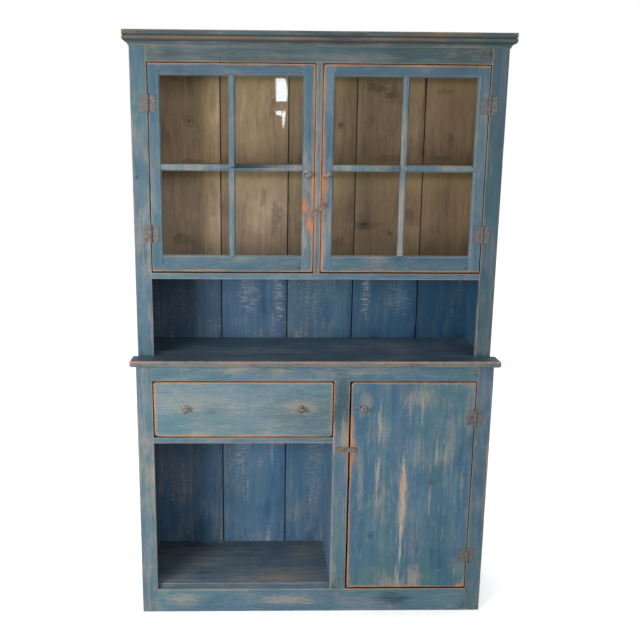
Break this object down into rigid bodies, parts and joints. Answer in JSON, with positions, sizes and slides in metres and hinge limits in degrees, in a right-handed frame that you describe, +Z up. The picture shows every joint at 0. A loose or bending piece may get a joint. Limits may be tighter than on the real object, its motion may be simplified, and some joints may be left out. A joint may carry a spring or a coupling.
{
  "type": "step back cupboard",
  "caption": "Painted step back cupboard with glazed upper doors over an open waist, and a deeper base with a drawer, an open bay and a board door.",
  "frame": {"origin": "on the floor, in the middle of the width and of the whole depth, knobs included", "axes": "+Z up, +X to the right and +Y to the back as one faces the doors"},
  "size_m": [1.154, 0.348, 1.841],
  "materials": {
    "painted_wood": "old milk paint, matt and worn through at the edges",
    "bare_wood": "unpainted old softwood, matt",
    "dark_iron": "dull aged iron",
    "glass": "clear old window glass"
  },
  "bodies": {
    "case": {"back_board_1": "painted_wood", "back_board_2": "painted_wood", "back_board_3": "painted_wood", "back_board_4": "painted_wood", "back_board_5": "painted_wood", "back_nails": "dark_iron", "base_rail": "painted_wood", "case_screws": "dark_iron", "case_top": "painted_wood", "cornice_front": "painted_wood", "cornice_left": "painted_wood", "cornice_right": "painted_wood", "counter_top": "painted_wood", "cupboard_floor": "painted_wood", "drawer_guide": "bare_wood", "drawer_shelf": "painted_wood", "frieze_rail": "painted_wood", "glazed_shelf": "bare_wood", "hinge_frame_leaves": "dark_iron", "hinge_pins": "dark_iron", "lower_floor": "painted_wood", "lower_mullion": "painted_wood", "lower_shelf": "bare_wood", "lower_stile_left": "painted_wood", "lower_stile_right": "painted_wood", "lower_top_rail": "painted_wood", "partition": "painted_wood", "side_left": "painted_wood", "side_right": "painted_wood", "upper_mullion": "painted_wood", "upper_stile_left": "painted_wood", "upper_stile_right": "painted_wood"},
    "left_door": {"left_door_hinge_stile": "painted_wood", "left_door_lock_stile": "painted_wood", "left_door_top_rail": "painted_wood", "left_door_bottom_rail": "painted_wood", "left_door_bars": "painted_wood", "left_door_panes": "glass", "left_door_knob": "dark_iron", "left_door_hinge_leaves": "dark_iron"},
    "right_door": {"right_door_hinge_stile": "painted_wood", "right_door_lock_stile": "painted_wood", "right_door_top_rail": "painted_wood", "right_door_bottom_rail": "painted_wood", "right_door_bars": "painted_wood", "right_door_panes": "glass", "right_door_knob": "dark_iron", "right_door_hinge_leaves": "dark_iron"},
    "lower_door": {"lower_door_panel": "painted_wood", "lower_door_battens": "bare_wood", "lower_door_knob": "dark_iron", "lower_door_hinge_leaves": "dark_iron"},
    "drawer": {"drawer_front": "painted_wood", "drawer_side_left": "bare_wood", "drawer_side_right": "bare_wood", "drawer_back": "bare_wood", "drawer_bottom": "bare_wood", "drawer_knobs": "dark_iron"},
    "upper_button": {"upper_turn_button": "dark_iron"},
    "lower_button": {"lower_turn_button": "dark_iron"}
  },
  "joints": [
    {"name": "left_door_hinge", "type": "hinge", "parent": "case", "child": "left_door", "pos_m": [-0.5075, -0.10295, 1.442], "axis": [0, 0, -1], "range_deg": [0, 165]},
    {"name": "right_door_hinge", "type": "hinge", "parent": "case", "child": "right_door", "pos_m": [0.5075, -0.10295, 1.442], "axis": [0, 0, 1], "range_deg": [0, 165]},
    {"name": "lower_door_hinge", "type": "hinge", "parent": "case", "child": "lower_door", "pos_m": [0.5075, -0.15395, 0.439], "axis": [0, 0, 1], "range_deg": [0, 165]},
    {"name": "drawer_slide", "type": "slide", "parent": "case", "child": "drawer", "axis": [0, -1, 0], "range_m": [0, 0.23]},
    {"name": "upper_button_turn", "type": "hinge", "parent": "case", "child": "upper_button", "pos_m": [0, -0.102, 1.323], "axis": [0, -1, 0], "continuous": true},
    {"name": "lower_button_turn", "type": "hinge", "parent": "case", "child": "lower_button", "pos_m": [0.097, -0.153, 0.5705], "axis": [0, -1, 0], "continuous": true}
  ]
}
